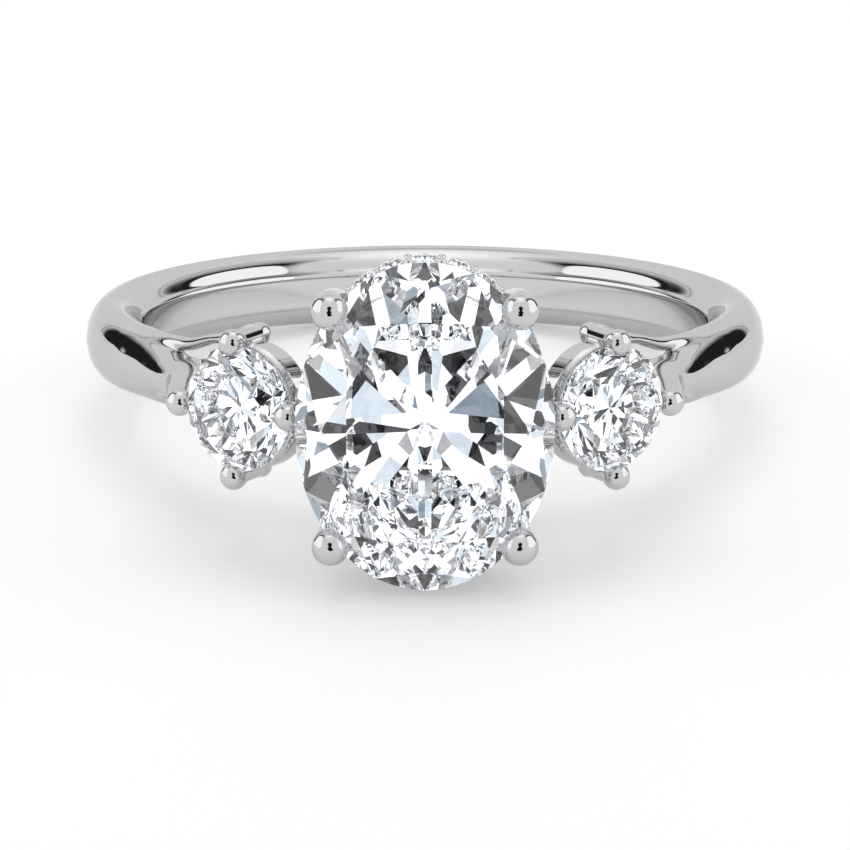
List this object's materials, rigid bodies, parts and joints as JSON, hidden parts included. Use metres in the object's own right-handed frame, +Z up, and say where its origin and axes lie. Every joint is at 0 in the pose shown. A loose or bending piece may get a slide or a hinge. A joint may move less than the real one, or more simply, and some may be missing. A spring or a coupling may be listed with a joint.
{
  "type": "three stone ring",
  "caption": "White metal ring with an oval centre stone over a hidden halo, round stones on split shoulders, and ball-tipped prongs.",
  "frame": {"origin": "middle of the box on the surface that the ring lies on", "axes": "+X across the head, -Y towards the head's stones, +Z up; the ring lies on its side, leaning about 8 degrees because its head is wider than its band"},
  "size_m": [0.0196, 0.0248, 0.0088],
  "materials": {
    "white_gold": "polished white gold",
    "diamond": "clear, cut and polished"
  },
  "bodies": {
    "root": {"ring_mount": "white_gold", "centre_stone": "diamond", "side_stone_left": "diamond", "side_stone_right": "diamond", "halo_stone_01": "diamond", "halo_stone_02": "diamond", "halo_stone_03": "diamond", "halo_stone_04": "diamond", "halo_stone_05": "diamond", "halo_stone_06": "diamond", "halo_stone_07": "diamond", "halo_stone_08": "diamond", "halo_stone_09": "diamond", "halo_stone_10": "diamond", "halo_stone_11": "diamond", "halo_stone_12": "diamond", "halo_stone_13": "diamond", "halo_stone_14": "diamond", "halo_stone_15": "diamond", "halo_stone_16": "diamond", "halo_stone_17": "diamond", "halo_stone_18": "diamond", "halo_stone_19": "diamond", "halo_stone_20": "diamond", "halo_stone_21": "diamond", "halo_stone_22": "diamond"}
  },
  "joints": []
}
